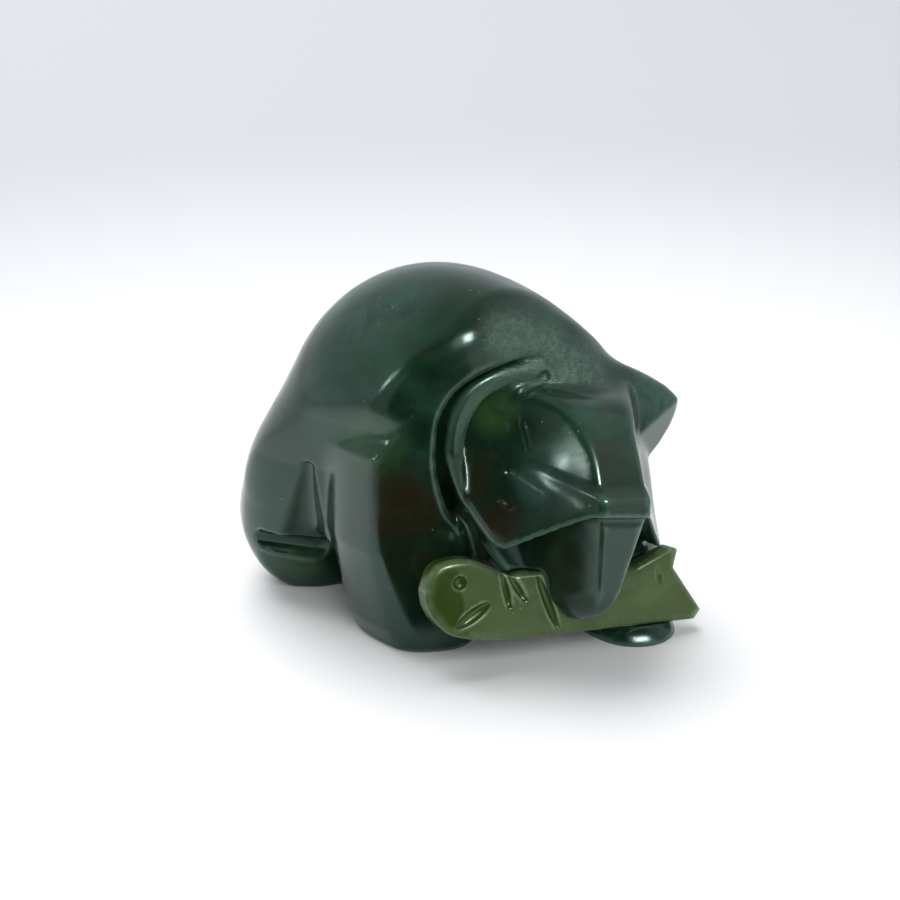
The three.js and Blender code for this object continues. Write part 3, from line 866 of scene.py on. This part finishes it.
floor = make_floor()
BEFORE_CARVING = (-0.0395, -0.0350, 0)
BESIDE_FORELEG = (-0.019, -0.0165, 0)
FAR_CORNERS = ((-0.028, 0), (0.028, 0), (0.028, 0.1), (-0.028, 0.1))
NEAR_CORNERS = ((-0.003, 0), (0.0035, 0), (0.0035, 0.015), (-0.016, 0.015))
SIDE_CORNERS = ((-0.1, 0), (-0.028, 0), (-0.028, 0.06), (-0.1, 0.06))
far_card = make_card("far_card", BEFORE_CARVING, FAR_CORNERS)
near_card = make_card("near_card", BESIDE_FORELEG, NEAR_CORNERS)
side_card = make_card("side_card", BEFORE_CARVING, SIDE_CORNERS, 0.3)

LOW_AIM = (0, 0, 0.02)
HIGH_AIM = (0, 0, 0.03)


def area_light(name, at, target, size, power):
    data = bpy.data.lights.new(name, "AREA")
    data.shape = "RECTANGLE"
    data.size, data.size_y = size
    data.energy = power
    lamp = bpy.data.objects.new(name, data)
    lamp.location = at
    lamp.rotation_euler = (Vector(target) - Vector(at)).to_track_quat("-Z", "Y").to_euler()
    bpy.context.scene.collection.objects.link(lamp)
    return lamp


ROOM_LOW = (0.76, 0.8, 0.84)
ROOM_MIDDLE = (0.5, 0.525, 0.55)
ROOM_HIGH = (0.15, 0.16, 0.17)
DARK_SIDE = (-0.72, -0.52, 0.46)


def make_world():
    """A room that darkens upward, and is darkest behind the camera and to its left."""
    world = bpy.data.worlds.new("studio")
    world.use_nodes = True
    tree = world.node_tree
    tree.nodes.clear()
    add = tree.nodes.new
    coordinates = add("ShaderNodeTexCoord")
    split = add("ShaderNodeSeparateXYZ")
    tree.links.new(coordinates.outputs["Generated"], split.inputs[0])
    ramp = add("ShaderNodeValToRGB")
    tree.links.new(split.outputs["Z"], ramp.inputs["Fac"])
    stops = ramp.color_ramp.elements
    stops[0].position, stops[0].color = 0.0, (*ROOM_LOW, 1)
    stops[1].position, stops[1].color = 0.98, (*ROOM_HIGH, 1)
    middle = stops.new(0.4)
    middle.color = (*ROOM_MIDDLE, 1)
    toward = add("ShaderNodeVectorMath")
    toward.operation = "DOT_PRODUCT"
    tree.links.new(coordinates.outputs["Generated"], toward.inputs[0])
    toward.inputs[1].default_value = unit(DARK_SIDE)
    side = add("ShaderNodeMapRange")
    side.interpolation_type = "SMOOTHSTEP"
    tree.links.new(toward.outputs["Value"], side.inputs["Value"])
    for key, number in (("From Min", 0.58), ("From Max", 0.82), ("To Min", 1.0), ("To Max", 0.07)):
        side.inputs[key].default_value = number
    background = add("ShaderNodeBackground")
    tree.links.new(ramp.outputs["Color"], background.inputs["Color"])
    tree.links.new(side.outputs["Result"], background.inputs["Strength"])
    output = add("ShaderNodeOutputWorld")
    tree.links.new(background.outputs[0], output.inputs[0])
    bpy.context.scene.world = world


make_world()
# Two lights that only brighten, two that only shine in the polish, and one that does both
brightening = (
    area_light("key_light", (0.1, 0.5, 0.9), LOW_AIM, (0.9, 0.9), 14.5),
    area_light("fill_light", (-0.3, -0.5, 0.4), LOW_AIM, (0.5, 0.5), 3.0),
)
for lamp in brightening:
    lamp.visible_glossy = False
highlights = (
    area_light("front_softbox", (-0.1, -0.4, 0.44), HIGH_AIM, (0.32, 0.18), 4.6),
    area_light("left_softbox", (-0.53, 0.145, 0.28), HIGH_AIM, (0.036, 0.08), 0.2),
)
for lamp in highlights:
    lamp.visible_diffuse = False
area_light("right_softbox", (0.55, -0.15, 0.62), HIGH_AIM, (0.6, 0.6), 0.2)
bpy.context.scene.view_settings.view_transform = "Standard"
bpy.context.scene.view_settings.look = "None"
